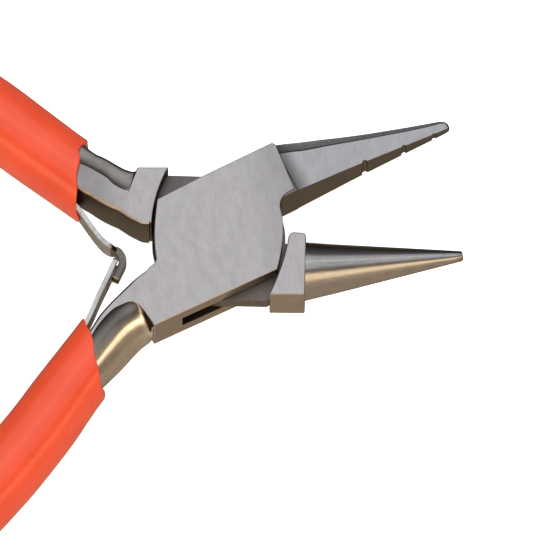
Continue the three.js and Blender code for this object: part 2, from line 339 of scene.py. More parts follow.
def handle_ring(row, side):
    """Rounded inner edge, flat strip, then a side between square and fully rounded."""
    inner, outer = Vector(row[0:2]), Vector(row[2:4])
    flat, rounded, half, edge = min(row[4], FLAT_MOST), min(max(row[5], 0), 1), row[6], row[7]
    span = outer - inner
    unit = span.normalized()
    upper = []
    for k in range(EDGE_STEPS + 1):
        a = math.pi / 2 * k / EDGE_STEPS
        upper.append((inner - unit * edge * math.cos(a), half - edge * (1 - math.sin(a))))
    square = [(i, *at) for i, at in enumerate(SQUARE)]
    for k in range((len(SQUARE) - 1) * SIDE_STEPS + 1):
        u, w = spline(ROUND[side], k / SIDE_STEPS)
        plain_u, plain_w = table(square, k / SIDE_STEPS)
        across = flat + (1 - flat) * (u * rounded + plain_u * (1 - rounded))
        down = w * rounded + plain_w * (1 - rounded)
        upper.append((inner + span * across, half * (1 - down)))
    del upper[EDGE_STEPS + 1]  # the flat strip runs on to the side's next point
    ring = [(p.x, p.y, MID + up) for p, up in upper]
    return ring + [(x, y, 2 * MID - z) for x, y, z in reversed(ring[:-1])]


def bar_row(side, length):
    """The plain bar's row for a length along its line."""
    at, along = LINES[side].at(length)
    (wide,) = table(HANDLE_SIZE, length)
    out = outwards(along, side) * wide / 2
    inner, outer = at - out * BAR_INNER, at + out
    return (*inner, *outer, BAR_FLAT, 1, wide * HANDLE_HALF, wide * BAR_EDGE)


def handle_bar(name, side):
    """Forged root that grows out of the joint, then the plain bar inside the sleeve."""
    end = LINES[side].length
    rows = ROOT[side] + [bar_row(side, ROOT_END)]
    steps = (len(rows) - 1) * ROOT_STEPS
    rings = [handle_ring(spline(rows, k / ROOT_STEPS), side) for k in range(steps)]
    for k in range(BAR_STEPS + 1):
        length = ROOT_END + (end - ROOT_END) * k / BAR_STEPS
        rings.append(handle_ring(bar_row(side, length), side))
    return skin(name, rings, side)


# ---- the box half ----

SLOT_END, SLOT_HALF = 12.0, 1.85  # window through the joint: half length, half height
SLOT_REACH = 30  # past both sides of the joint
ROOM_HALF = 1.4  # half height of the slot behind it, where the spring's hook goes in closing
PIN_RADIUS, PIN_GAP = 2.5, 0.003
GROUND, FORGED = 12, 24  # degrees between faces from which an edge looks sharp


def box_body():
    points = outline(
        (-17.45, -9.85), (5.9, -10.4),
        ((10.35, -5.3), (11.35, -1.2)),
        ((11.9, 1.0), (14.2, 1.12)),
        (15.2, 1.15), (16.0, 9.8), (15.6, 10.4), (1.5, 10.45), (-6.5, 10.25),
        ((-10.3, 4.9), (-11.55, 0.75)),
        ((-11.9, 0.1), (-13.2, -0.06)),
        (-15.4, -1.0), (-16.9, -2.9), (-17.4, -4.5), (-17.5, -7.6))
    body = prism("box_body", points, 0, THICK, LOWER)
    window = prism("window", [(-SLOT_END, -SLOT_REACH), (SLOT_END, -SLOT_REACH),
                              (SLOT_END, SLOT_REACH), (-SLOT_END, SLOT_REACH)],
                   MID - SLOT_HALF, MID + SLOT_HALF, LOWER)
    body = soften(combine(body, [window], "DIFFERENCE"), width=0.2)
    bore = post("bore", 0, 0, PIN_RADIUS + PIN_GAP, -1, THICK + 1, LOWER)
    combine(body, [bore], "DIFFERENCE")
    combine(body, [handle_bar("bar", LOWER)], "UNION")
    plan = outline((-11.8, 0.8), (-18.0, 0.8), (-18.0, -1.9),
                   ((-15.6, -4.9), (-12.6, -4.7)), (-11.8, -3.6))
    room = prism("hook_room", plan, MID - ROOM_HALF, MID + ROOM_HALF, LOWER)
    return smooth(combine(body, [room], "DIFFERENCE"), FORGED, weighted=False)


def jaw_section(face, back, thick, corner):
    """Flat gripping face, flat top and underside, and a hollow slope along the back."""
    up, step, edge = thick / 2, corner * 0.4, 0.12
    half = [
        (face, 0), (face, up * 0.5), (face, up - edge), (face + edge, up),
        (face + 0.5 * (back - corner - face), up), (back - corner - 0.02, up),
        (back - corner * 0.8, up - step * 0.5), (back - corner * 0.4, up - step * 0.8),
        (back - edge, up - step), (back, up - step - 0.15), (back, 0)]
    under = [(y, -z) for y, z in reversed(half[1:-1])]
    return half + under


JAW = [  # along, gripping face, back, thickness, width of the slope along the back
    (12.5, 0.66, 8.7, 9.8, 2.0), (15.2, 0.66, 10.45, 9.8, 2.15), (15.7, 0.66, 10.25, 9.4, 2.15),
    (16.6, 0.66, 9.98, 9.05, 2.1), (17.8, 0.65, 9.6, 8.75, 2.05), (20, 0.63, 8.84, 8.25, 2.0),
    (23.4, 0.6, 7.75, 7.4, 1.7), (26.8, 0.56, 6.63, 6.45, 1.4), (30.4, 0.47, 5.52, 5.5, 1.2),
    (33.9, 0.36, 4.54, 4.6, 1.05), (37.4, 0.26, 3.62, 3.65, 0.95), (40.9, 0.15, 2.72, 2.75, 0.8),
    (43.0, 0.1, 2.19, 2.2, 0.6), (43.9, 0.1, 1.86, 1.95, 0.5), (44.4, 0.14, 1.52, 1.6, 0.35),
    (44.62, 0.3, 1.2, 1.2, 0.2)]
JAW_STEPS = 4  # rings for each row
GROOVES = [(28.4, 0.52), (35.8, 0.42), (41.5, 0.34)]  # along, radius
GROOVE_LIFT = 0.05  # of a groove's centre off the gripping face


def flat_jaw():
    rings = []
    for k in range((len(JAW) - 1) * JAW_STEPS + 1):
        x, face, back, thick, corner = spline(JAW, k / JAW_STEPS)
        section = jaw_section(face, back, thick, corner)
        rings.append([(x, y, MID + z) for y, z in section])
    jaw = skin("flat_jaw", rings, LOWER)
    cutters = []
    for x, radius in GROOVES:
        (face,) = table([(row[0], row[1]) for row in JAW], x)
        cutters.append(
            post("groove", x, face - GROOVE_LIFT, radius, -1, THICK + 1, LOWER, sides=32))
    combine(jaw, cutters, "DIFFERENCE")
    return smooth(jaw, angle=GROUND)


# ---- the tongue half ----

TONGUE_HALF = 1.65  # half thickness
CONE_ROOT, CONE_TIP = Vector((13.8, -4.93)), Vector((41.82, -1.0))
CONE_START, CONE_WIDE, CONE_NARROW = 0.9, 5.04, 0.88  # along from the root, radii at the ends
CONE_STEPS = 20
CONE_LEAN, LEAN_END = 8 * DEG, 6  # of the first rings along the block's face, and where it ends
CONE_TOP, TOP_END = 4.9, 1.5  # most height off the middle at the block, and where that ends


def tongue_slab():
    points = outline(
        (-12.6, 11.25), (-12.6, 2.2), (-11.25, 1.85),
        ((-11.9, -2.6), (-9.6, -6.1)),
        ((-7, -10), (-2, -11.2)),
        (3.8, -10.95), (8.6, -10.9), (9.3, -10.4), (12.8, -10.2), (12.8, -0.9), (11.38, -0.3),
        ((11.5, 4.3), (8.2, 7.9)),
        ((5.6, 10.6), (1.4, 11.3)))
    body = prism("tongue_slab", points, MID - TONGUE_HALF, MID + TONGUE_HALF, UPPER)
    bore = post("bore", 0, 0, PIN_RADIUS + PIN_GAP, -1, THICK + 1, UPPER)
    return soften(combine(body, [bore], "DIFFERENCE"), width=0.12, segments=2)


def shoulder():
    points = outline(
        (-9, 11.6), (-14.35, 11.4), (-15.75, 7.1), (-16.1, 5.8), (-15.8, 4.3), (-15.2, 3.3),
        (-13.7, 2.1), (-12.9, 1.7), (-11.95, 1.5), (-11.5, 1.35),
        ((-11.35, 6.8), (-9, 11.6)))
    body = soften(prism("shoulder", points[:-1], 0, THICK, UPPER), width=0.2)
    return smooth(combine(body, [handle_bar("bar", UPPER)], "UNION"), FORGED, weighted=False)


def front_block():
    points = outline(
        (9.0, -10.8), (15.1, -10.65), (14.95, 0.1), (14.6, 0.55), (12.85, 0.62), (12.3, 0.45),
        (11.98, -0.1),
        ((11.35, -5.3), (9.0, -10.8)))
    return soften(prism("front_block", points[:-1], 0, THICK, UPPER), width=0.22)


def round_jaw():
    length = (CONE_TIP - CONE_ROOT).length
    along = (CONE_TIP - CONE_ROOT).normalized()
    across = Vector((-along.y, along.x))

    def local(a, b, c):
        """The root's rings lie along the block's face and stay below its top."""
        lean = b * math.tan(CONE_LEAN) * max(0.0, 1 - a / LEAN_END)
        p = CONE_ROOT + along * (a + lean) + across * b
        return (p.x, p.y, MID + (min(max(c, -CONE_TOP), CONE_TOP) if a < TOP_END else c))

    taper = [(CONE_START + (length - CONE_START) * k / CONE_STEPS,
              CONE_WIDE + (CONE_NARROW - CONE_WIDE) * k / CONE_STEPS)
             for k in range(CONE_STEPS)]
    nose = [(length - 0.25, CONE_NARROW + 0.03), (length - 0.1, CONE_NARROW - 0.08),
            (length, CONE_NARROW - 0.25), (length, 0.2)]
    return smooth(spin("round_jaw", taper + nose, local, UPPER, sides=72), angle=35)


def pivot_pin():
    rim = 0.01
    profile = [(0, PIN_RADIUS - rim), (rim, PIN_RADIUS), (THICK - rim, PIN_RADIUS),
               (THICK, PIN_RADIUS - rim)]
    pin = spin("pin", profile, lambda a, b, c: (b, c, a), LOWER, sides=64)
    return smooth(pin, angle=30)


# ---- springs ----

LEAF_THICK, LEAF_HALF, LEAF_LIFT = 0.8, 2.5, 0.15  # thickness, half width, gap to the bar
HOOK_HALF, HOOK_THICK = 1.1, 1.25
NARROW, NARROW_HALF = 1.7, 0.9  # length over which the upper leaf narrows, half width there
FORK, FORK_GAP = 3.6, 1.25  # length of the lower leaf's fork, half of its opening
ROOT_AT = (25.5, 21.0, 18.2)  # lengths along the handle where a leaf lies on it
RIVET_AT, RIVET_RADIUS, RIVET_HEAD = 21.4, 0.86, 1.6


def leaf_root(side):
    """Points of a leaf's middle on the handle's inner face, in the half's closed place."""
    points = []
    for length in ROOT_AT:
        at, along = LINES[side].at(length)
        (wide,) = table(HANDLE_SIZE, length)
        lift = wide / 2 + LEAF_LIFT + LEAF_THICK / 2
        points.append(at - outwards(along, side) * lift)
    return points


def turned_back(points, side):
    """Points of the open pose, as they are in the half's closed place."""
    turn = Matrix.Rotation(side * OPENING / 2, 2)
    return [turn @ Vector(p) for p in points]


def ribbon(name, line, side, start, end, edges, steps, thick=LEAF_THICK):
    """Strip on edge along a line; edges gives its low and high side at a length."""
    rings = []
    for k in range(steps + 1):
        length = start + (end - start) * k / steps
        at, along = line.at(length)
        left = Vector((-along.y, along.x)) * thick / 2
        low, high = edges(length)
        corners = [(at + left, low), (at + left, high), (at - left, high), (at - left, low)]
        rings.append([(p.x, p.y, MID + z) for p, z in corners])
    return skin(name, rings, side)


def rounded_end(length, end, low, high, reach):
    """The strip's edges drawn in over its last stretch, like a half-round end."""
    past = max(0.0, length - (end - reach)) / reach
    draw = 1 - math.sqrt(max(0.0, 1 - past * past))
    middle, half = (low + high) / 2, (high - low) / 2
    return middle - half * (1 - draw), middle + half * (1 - draw)


def upper_leaf():
    free = [(-22.9, 11.5), (-21.75, 9.1), (-20.5, 6.0), (-19.35, 3.7), (-18.2, 2.5),
            (-17.1, 1.85)]
    blade_line = Line(leaf_root(UPPER) + turned_back(free, UPPER))
    end = blade_line.length

    def blade_edges(length):
        t = min(max(0.0, (length - end + NARROW) / NARROW), 1)
        half = LEAF_HALF - (LEAF_HALF - NARROW_HALF) * t * t * (3 - 2 * t)
        return -half, half

    blade = ribbon("upper_leaf", blade_line, UPPER, 0, end, blade_edges, steps=110)
    hook = [(-18.2, 2.5), (-17.3, 1.9), (-16.9, 1.15), (-16.75, 0.3), (-17.0, -0.5),
            (-17.6, -1.35), (-18.3, -2.25), (-19.0, -3.25)]
    hook_line = Line(turned_back(hook, UPPER))
    tip = hook_line.length
    tongue = ribbon("tongue", hook_line, UPPER, 0.5, tip,
                    lambda x: rounded_end(x, tip, -HOOK_HALF, HOOK_HALF, reach=0.9),
                    steps=44, thick=HOOK_THICK)
    combine(blade, [tongue], "UNION")
    return soften(blade, width=0.1, segments=2)


def lower_leaf():
    free = [(-25.35, -9.95), (-22.5, -6.0), (-19.95, -2.6), (-17.85, 0.35)]
    line = Line(leaf_root(LOWER) + turned_back(free, LOWER))
    end = line.length
    body = ribbon("lower_leaf", line, LOWER, 0, end - FORK,
                  lambda x: (-LEAF_HALF, LEAF_HALF), steps=60)
    prongs = []
    for low, high in ((-LEAF_HALF, -FORK_GAP), (FORK_GAP, LEAF_HALF)):
        prongs.append(ribbon(
            "prong", line, LOWER, end - FORK - 0.3, end,
            lambda x, low=low, high=high: rounded_end(x, end, low, high, reach=0.6), steps=14))
    combine(body, prongs, "UNION")
    return soften(body, width=0.1, segments=2)


def spring_rivet(name, side):
    at, along = LINES[side].at(RIVET_AT)
    out = outwards(along, side)
    (wide,) = table(HANDLE_SIZE, RIVET_AT)
    seat = at - out * (wide / 2)

    def local(a, b, c):
        p = seat - out * a + along * b
        return (p.x, p.y, MID + c)

    top = LEAF_LIFT + LEAF_THICK + 0.08
    head = [(top + 0.25 + 0.5 * math.sin(a), RIVET_HEAD * math.cos(a))
            for a in (0, 0.4, 0.8, 1.2)]
    profile = [(-3, RIVET_RADIUS), (top, RIVET_RADIUS), (top, RIVET_HEAD)]
    profile += head + [(top + 0.75, 0.2)]
    return smooth(spin(name, profile, local, side, sides=32), angle=35)


# ---- grips ----

GRIP = {  # length along the handle, offset towards the other handle, width, height
    UPPER: [(0, 1.6, 12.4, 11.0), (12, 1.5, 12.6, 11.1), (20, 1.3, 12.8, 11.2),
            (32, 0.8, 12.8, 11.2), (50, 0, 12.4, 11.2), (70, 0, 12.2, 11.1),
            (88, 0, 11.6, 10.7)],
    LOWER: [(0, 1.0, 11.4, 10.9), (14, 0.95, 11.6, 11.0), (24, 0.6, 11.8, 11.1),
            (34, 0.1, 12.1, 11.2), (42, -0.35, 12.35, 11.2), (50, -0.9, 12.9, 11.2),
            (60, -1.15, 12.95, 11.1), (70, -0.45, 12.15, 11.0), (88, 0, 11.6, 10.7)]}
MOUTH = {UPPER: (10.6, 0.71), LOWER: (13.8, 0.78)}  # length along the handle, slant
SLANT_FADE = 13.0  # length over which the mouth's slant dies out
DOME = 6.0  # height of the closed end
WALL = 1.0
LIP = 0.4  # how far the mouth's rim rolls forward
GRIP_STEPS = 45
BORE, INSIDE, OUTSIDE, ROLL = 2.8, 2.3, 2.1, 2.2  # how square each stretch is; 2 is an ellipse
BORE_ROOM, OFFSET_ROOM = 0.5, 0.6  # room round the bar, and more as a share of the offset


def oval(wide, high, exponent, sides=72):
    """Points (across, up) of an ellipse, squarer for a higher exponent."""
    ring = []
    for k in range(sides):
        a = 2 * math.pi * k / sides
        c, s = math.cos(a), math.sin(a)
        ring.append((math.copysign(abs(c) ** (2 / exponent), c) * wide / 2,
                     math.copysign(abs(s) ** (2 / exponent), s) * high / 2))
    return ring


def ripple(side, across, up):
    """Small unevenness of a cut mouth; the upper one comes forward again on the outside."""
    a = math.atan2(up, across)
    forward = 0.75 * max(0.0, across - 3.0) if side == UPPER else 0
    return 0.24 * math.sin(3 * a + side) + 0.16 * math.sin(7 * a + 2 * side) - forward


def grip(name, side):
    """Sleeve: up the bore, round the rim, then back over the outside to the domed end."""
    line = LINES[side]
    mouth, slope = MOUTH[side]
    end = line.length

    def ring(length, inset, exponent, shrink=1.0, lip=0.0):
        offset, wide, high = table(GRIP[side], length)
        fade = max(0.0, 1 - (length - mouth) / SLANT_FADE)
        fade = fade * fade * (3 - 2 * fade)

        def slant(across, up):
            return fade * (slope * (across + offset) + ripple(side, across + offset, up)) + lip

        section = oval((wide - 2 * inset) * shrink, (high - 2 * inset) * shrink, exponent)
        return place([(x - offset, z) for x, z in section], line, length, side, slant)

    rings = []
    for depth in (end - 2, end - 12, end - 30, mouth + 24, mouth + 16):  # bore, outwards
        (wide,) = table(HANDLE_SIZE, depth)
        offset, outer, _ = table(GRIP[side], depth)
        inset = (outer - wide) / 2 - BORE_ROOM - abs(offset) * OFFSET_ROOM
        rings.append(ring(depth, inset, BORE))
    for depth in (12, 9, 6, 4, 2.5, 1.2, 0.5):
        rings.append(ring(mouth + depth, WALL, INSIDE))
    for turn in (0, 45, 90, 135, 180):  # rolled lip
        c, s = math.cos(turn * DEG), math.sin(turn * DEG)
        rings.append(ring(mouth, WALL * (0.5 + 0.5 * c), ROLL, lip=-LIP * s))
    for k in range(1, GRIP_STEPS + 1):
        rings.append(ring(mouth + (end - mouth) * k / GRIP_STEPS, 0, OUTSIDE))
    for turn in (15, 30, 45, 58, 70, 80, 87):
        shrink = math.cos(turn * DEG)
        rings.append(ring(end, 0, OUTSIDE, shrink, DOME * math.sin(turn * DEG)))
    return smooth(skin(name, rings, side), angle=60)


# ---- materials ----


class Nodes:
    """Short names for building a node tree."""

    def __init__(self, name):
        self.material = bpy.data.materials.new(name)
        self.material.use_nodes = True
        self.tree = self.material.node_tree
        self.shader = self.tree.nodes["Principled BSDF"]

    def add(self, kind, **values):
        node = self.tree.nodes.new("ShaderNode" + kind)
        for key, value in values.items():
            if key in node.inputs:
                node.inputs[key].default_value = value
            else:
                setattr(node, key, value)
        return node

    def link(self, source, target):
        self.tree.links.new(source, target)

    def set(self, **values):
        """Values on the shader's own sockets; an underscore stands for a space."""
        for key, value in values.items():
            self.shader.inputs[key.replace("_", " ")].default_value = value

    def coordinates(self, scale, turn=0.0):
        """Object position in millimetres, turned about Z and then stretched."""
        here = self.add("TexCoord")
        mapping = self.add("Mapping", vector_type="TEXTURE")
        mapping.inputs["Rotation"].default_value = (0, 0, turn)
        mapping.inputs["Scale"].default_value = [MM / v for v in scale]
        self.link(here.outputs["Object"], mapping.inputs["Vector"])
        return mapping.outputs["Vector"]

    def noise(self, scale, turn, detail, rough):
        node = self.add("TexNoise", Scale=1.0, Detail=detail, Roughness=rough)
        self.link(self.coordinates(scale, turn), node.inputs["Vector"])
        return node.outputs["Fac"]

    def ramp(self, source, stops):
        node = self.add("ValToRGB")
        node.color_ramp.elements[0].position = stops[0][0]
        node.color_ramp.elements[0].color = (*stops[0][1], 1)
        node.color_ramp.elements[1].position = stops[-1][0]
        node.color_ramp.elements[1].color = (*stops[-1][1], 1)
        for position, colour in stops[1:-1]:
            node.color_ramp.elements.new(position).color = (*colour, 1)
        self.link(source, node.inputs["Fac"])
        return node.outputs["Color"]

    def spread(self, source, low, high):
        """Noise between its usual ends, 0.3 and 0.7, stretched from low to high."""
        node = self.add("MapRange")
        node.inputs["From Min"].default_value = 0.3
        node.inputs["From Max"].default_value = 0.7
        node.inputs["To Min"].default_value = low
        node.inputs["To Max"].default_value = high
        self.link(source, node.inputs["Value"])
        return node.outputs["Result"]

    def mixed(self, a, b, factor):
        node = self.add("Mix", data_type="FLOAT")
        node.inputs["Factor"].default_value = factor
        self.link(a, node.inputs["A"])
        self.link(b, node.inputs["B"])
        return node.outputs["Result"]

    def painted_shade_ramp(self, colour, turn, start, end, low):
        """Painted shade: darkens the colour to its low share at the start, along a direction in
        the plane.
        """
        apart = self.add("SeparateXYZ")
        self.link(self.coordinates((1, 1, 1), turn), apart.inputs["Vector"])
        rise = self.add("MapRange", interpolation_type="SMOOTHSTEP")
        for key, value in (("From Min", start), ("From Max", end), ("To Min", low)):
            rise.inputs[key].default_value = value
        self.link(apart.outputs["X"], rise.inputs["Value"])
        scale = self.add("VectorMath", operation="SCALE")
        self.link(colour, scale.inputs[0])
        self.link(rise.outputs["Result"], scale.inputs["Scale"])
        return scale.outputs["Vector"]

    def painted_bands(self, colour, stops):
        """Painted highlight and shade: scales the colour by stops of (distance from mid height,
        level), both ways.
        """
        apart = self.add("SeparateXYZ")
        self.link(self.coordinates((1, 1, 1)), apart.inputs["Vector"])
        offset = self.add("Math", operation="SUBTRACT")
        offset.inputs[1].default_value = MID
        distance = self.add("Math", operation="ABSOLUTE")
        share = self.add("Math", operation="DIVIDE")
        share.inputs[1].default_value = MID
        self.link(apart.outputs["Z"], offset.inputs[0])
        self.link(offset.outputs["Value"], distance.inputs[0])
        self.link(distance.outputs["Value"], share.inputs[0])
        scale = self.add("VectorMath", operation="MULTIPLY")
        self.link(colour, scale.inputs[0])
        painted_light_bands = [(at / MID, (level, level, level)) for at, level in stops]
        self.link(self.ramp(share.outputs["Value"], painted_light_bands), scale.inputs[1])
        return scale.outputs["Vector"]

    def bump(self, height, distance):
        node = self.add("Bump", Strength=1.0, Distance=distance * MM)
        self.link(height, node.inputs["Height"])
        self.link(node.outputs["Normal"], self.shader.inputs["Normal"])


def steel(name, tint, rough, turn, grain=1.0, streak=(0.08, 4.0, 4.0), painted_shade=None,
          painted_light_bands=None):
    """Satin steel: fine streaks along the turn, soft blotches and small scuffs.

    grain sets how strong they are, and streak their count per millimetre along and across."""
    m = Nodes(name)
    m.set(Metallic=1.0)
    streaks = m.noise(streak, turn, detail=4, rough=0.65)
    blotch = m.noise((0.35, 0.6, 0.5), turn, detail=3, rough=0.55)
    scuffs = m.noise((0.9, 2.6, 2.0), turn, detail=5, rough=0.65)
    shade = m.mixed(m.mixed(streaks, blotch, 0.45), scuffs, 0.3)
    low, high = [c * (1 - 0.16 * grain) for c in tint], [c * (1 + 0.14 * grain) for c in tint]
    colour = m.ramp(shade, [(0.38, low), (0.5, tint), (0.62, high)])
    # painted shade: a ramp that darkens the colour towards one side
    if painted_shade:
        colour = m.painted_shade_ramp(colour, *painted_shade)
    # painted highlight and shade: bands by height brighten and darken the colour
    if painted_light_bands:
        colour = m.painted_bands(colour, painted_light_bands)
    m.link(colour, m.shader.inputs["Base Color"])
    m.link(m.spread(m.mixed(streaks, scuffs, 0.4), rough * 0.8, rough * 1.25),
           m.shader.inputs["Roughness"])
    m.bump(m.mixed(streaks, scuffs, 0.35), 0.008 * grain)
    return m.material


def orange_vinyl():
    """Soft vinyl under a clear gloss, faintly clouded and uneven."""
    m = Nodes("orange_vinyl")
    m.set(IOR=1.45, Coat_Weight=1.0, Coat_Roughness=0.06)
    cloud = m.noise((0.16, 0.16, 0.2), turn=0, detail=3, rough=0.5)
    swell = m.noise((0.3, 0.3, 0.3), turn=0, detail=2, rough=0.5)
    grain = m.noise((3.5, 3.5, 3.5), turn=0, detail=3, rough=0.5)
    m.link(m.ramp(cloud, [(0.3, (0.55, 0.046, 0.010)), (0.7, (0.61, 0.054, 0.012))]),
           m.shader.inputs["Base Color"])
    m.link(m.spread(grain, 0.42, 0.52), m.shader.inputs["Roughness"])
    m.bump(m.mixed(swell, grain, 0.03), 0.1)
    return m.material


# ---- assembly ----


def finish_piece(obj, name, body, slot, *replaced):
    obj.name = name
    if body:
        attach(obj, body)
    if replaced:
        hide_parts(*replaced)


def single(obj, material):
    obj.data.materials.clear()
    obj.data.materials.append(material)
    return obj


GRIND = 87 * DEG  # the grinding runs across the box
GROUND_TINT = (0.535, 0.52, 0.535)
STEELS = {
    "flat": steel("ground_steel", GROUND_TINT, 0.34, GRIND),
    # the walls' darker, warmer tint is partly the forged finish and partly painted reflection of
    # the warm surroundings
    "wall": steel("wall_steel", (0.46, 0.42, 0.38), 0.34, 0),
    # painted shade: the upper handle's flat strip darkens out along the handle
    "strip": steel("strip_steel", GROUND_TINT, 0.34, GRIND,
                   painted_shade=(0, -19.5, -12.0, 0.7)),
    # painted shade: the plate darkens towards the jaws
    "plate": steel("plate_steel", GROUND_TINT, 0.34, GRIND,
                   painted_shade=(180 * DEG, -16.0, -3.0, 0.76)),
    # lower handle's rounded side: a near-white warm tint with a painted highlight streak between
    # darker painted bands by height, and painted shade darkening its inner half
    "bar": steel("bar_painted_highlight_steel", (0.98, 0.93, 0.86), 0.14, 34 * DEG, 0.9, (0.3, 2.5, 2.5),
                 painted_shade=(-56 * DEG, -3.5, -1.0, 0.15),
                 painted_light_bands=[(1.8, 0.85), (2.5, 0.5), (3.0, 0.5), (3.45, 1.0), (3.85, 1.0),
                        (4.3, 0.36)]),
    "cove": steel("cove_steel", (0.48, 0.45, 0.43), 0.32, -30 * DEG),
    # painted shade: dark steel for the gripping faces, the wall behind them and the upper
    # handle's inner side
    "grip": steel("grip_painted_shade_steel", (0.14, 0.125, 0.115), 0.4, 10 * DEG),
    # painted shade: the tongue's slab, seen only in the box's gaps, is dark, and darker still
    # towards its back in the gap by the shoulder
    "slab": steel("slab_painted_shade_steel", (0.2, 0.185, 0.18), 0.42, GRIND,
                  painted_shade=(0, -9.5, -7.5, 0.15)),
    # painted shade: near-black steel for the inside of the joint
    "dark": steel("joint_painted_shade_steel", (0.045, 0.04, 0.037), 0.5, 30 * DEG),
}
# painted shade: the jaw's top and underside darken towards the root by the box
JAW_STEEL = steel("jaw_steel", (0.49, 0.485, 0.505), 0.3, 75 * DEG, 0.9,
                  painted_shade=(OPENING / 2, 15.4, 19.0, 0.38))
CONE_STEEL = steel("cone_steel", (0.42, 0.41, 0.41), 0.17, -6 * DEG, 0.8, (0.35, 3.5, 3.5))
LEAF_STEELS = {
    "leaf": steel("leaf_steel", (0.6, 0.59, 0.58), 0.26, 50 * DEG, 2.4),
    "side": steel("leaf_side_steel", (0.66, 0.72, 0.8), 0.42, 50 * DEG, 1.3),
    # painted shade: the hook and its end cap, where the leaf tucks in by the box, are painted
    # dark
    "hook": steel("hook_painted_shade_steel", (0.2, 0.18, 0.165), 0.3, 50 * DEG, 1.3),
}
VINYL = orange_vinyl()


NEAR = 0.05  # distance from a surface within which a face lies on it
ROOM_X, ROOM_Y = (-18, -11.7), (-4.75, -1.2)  # where the hook's slot has its walls
BOX_END = -17.5  # where the box body ends and the lower handle starts


def is_level(facing):
    return abs(facing.z) > LEVEL


def box_rule(where, facing):
    """Inside of the joint painted dark as shade, ground top and underside, forged walls, then
    the handle.
    """
    beside = abs(abs(where.z - MID) - SLOT_HALF) < NEAR
    at_end = abs(abs(where.x) - SLOT_END) < NEAR
    in_slot = abs(where.x) < SLOT_END + 2 * NEAR and (beside or at_end)
    in_room = (ROOM_X[0] < where.x < ROOM_X[1] and ROOM_Y[0] < where.y < ROOM_Y[1]
               and abs(where.z - MID) < ROOM_HALF + NEAR)
    in_bore = math.hypot(where.x, where.y) < PIN_RADIUS + 2 * NEAR and not is_level(facing)
    # painted shade: the slot, the hook's room and the bore are painted near-black
    if in_slot or in_room or in_bore:
        return "dark"
    if is_level(facing):
        return "plate"
    # painted shade: the wall behind the gripping face takes the dark grip steel
    if where.x > 11 and where.y > -1.5 and facing.y < 0.3:  # wall behind the gripping face
        return "grip"
    # painted shade: the back end of the box and the crease where the handle's root meets it take
    # the dark slab steel
    if facing.x < -0.8 and where.x > BOX_END - 0.1 and where.y < -3:  # back end of the box
        return "slab"
    crease = where.x > BOX_END - 0.6 and facing.x < -0.5 and facing.z < 0.6 and where.y > -9.7
    if crease and abs(where.z - MID) > 1:  # where the handle's root meets the back end
        return "slab"
    return "wall" if where.x > BOX_END + 0.3 else "bar"


def jaw_rule(where, facing):
    """Top and underside, hollow slope along the back, and gripping face and tip painted dark as
    shade.
    """
    if abs(facing.z) > 0.9:
        return "flat"
    return "cove" if facing.y > 0.2 else "grip"


def tongue_rule(where, facing):
    """For the front block and the shoulder with its handle."""
    if is_level(facing):
        return "flat" if where.x > 0 else "strip"
    if facing.x * where.x + facing.y * where.y < -8 and where.x > -12:  # towards the pivot
        # painted shade: faces inside the joint, towards the pivot, are painted near-black
        return "dark"
    # painted shade: the handle's inner side takes the dark grip steel, and its rounded edge the
    # lighter wall steel
    if where.x < -11.5 and facing.y < -0.3:  # the handle's inner edge
        return "grip" if abs(facing.z) < 0.45 else "wall"
    if where.x < -14 and facing.y > -0.2:  # its outer side, and the shoulder's back end
        # painted shade: the shoulder's back end takes the dark slab steel
        return "slab" if facing.x < -0.6 and where.x > -16.2 and where.y > 7 else "cove"
    return "wall"


def leaf_rule(where, facing):
    """The narrow hook and its end cap painted dark as shade, sheared edges, then the broad
    sides.
    """
    middle = abs(where.z - MID) < HOOK_HALF + 0.2
    end_cap = where.x > -20.5 and -5 < where.y < -1.5 and facing.y < -0.3
    if middle and (end_cap or where.x > -18.6 and where.y < 2.5):
        return "hook"
    return "side" if abs(facing.z) < 0.3 else "leaf"


BOX, TONGUE = "box_side", "tongue_side"
finish_piece(paint(box_body(), LOWER, STEELS, box_rule), "box_body", BOX, "steel", "box_half")
jaw_steels = {**STEELS, "flat": JAW_STEEL}
finish_piece(paint(flat_jaw(), LOWER, jaw_steels, jaw_rule), "flat_jaw", BOX, "steel")
finish_piece(single(pivot_pin(), STEELS["flat"]), "pin_body", BOX, "pin_steel", "pivot_pin")
# the tongue slab takes the dark slab steel, painted shade in the box's gaps
finish_piece(single(tongue_slab(), STEELS["slab"]), "tongue_slab", TONGUE, "steel",
             "tongue_half")
for shape, name in ((shoulder, "shoulder"), (front_block, "front_block")):
    finish_piece(paint(shape(), UPPER, STEELS, tongue_rule), name, TONGUE, "steel")
finish_piece(single(round_jaw(), CONE_STEEL), "round_jaw", TONGUE, "steel")
for side, name in ((UPPER, "upper"), (LOWER, "lower")):
    body = BODY[side]
    finish_piece(single(grip("grip", side), VINYL), name + "_sleeve", body, "grip_pvc",
                 name + "_grip")
    finish_piece(single(spring_rivet("rivet", side), LEAF_STEELS["leaf"]), name + "_rivet", body,
                 "rivet_steel", name + "_spring_rivet")
for shape, side, name, tip in (
        (upper_leaf, UPPER, "upper_leaf", (-0.0195, 0.005, 0.005)),
        (lower_leaf, LOWER, "lower_leaf", (-0.0162, 0.0022, 0.005))):
    leaf = paint(shape(), None, LEAF_STEELS, leaf_rule)
    finish_piece(leaf, name + "_strip", None, "spring_steel", name + "_spring")
    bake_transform(leaf)


# ---- floor, light and camera ----

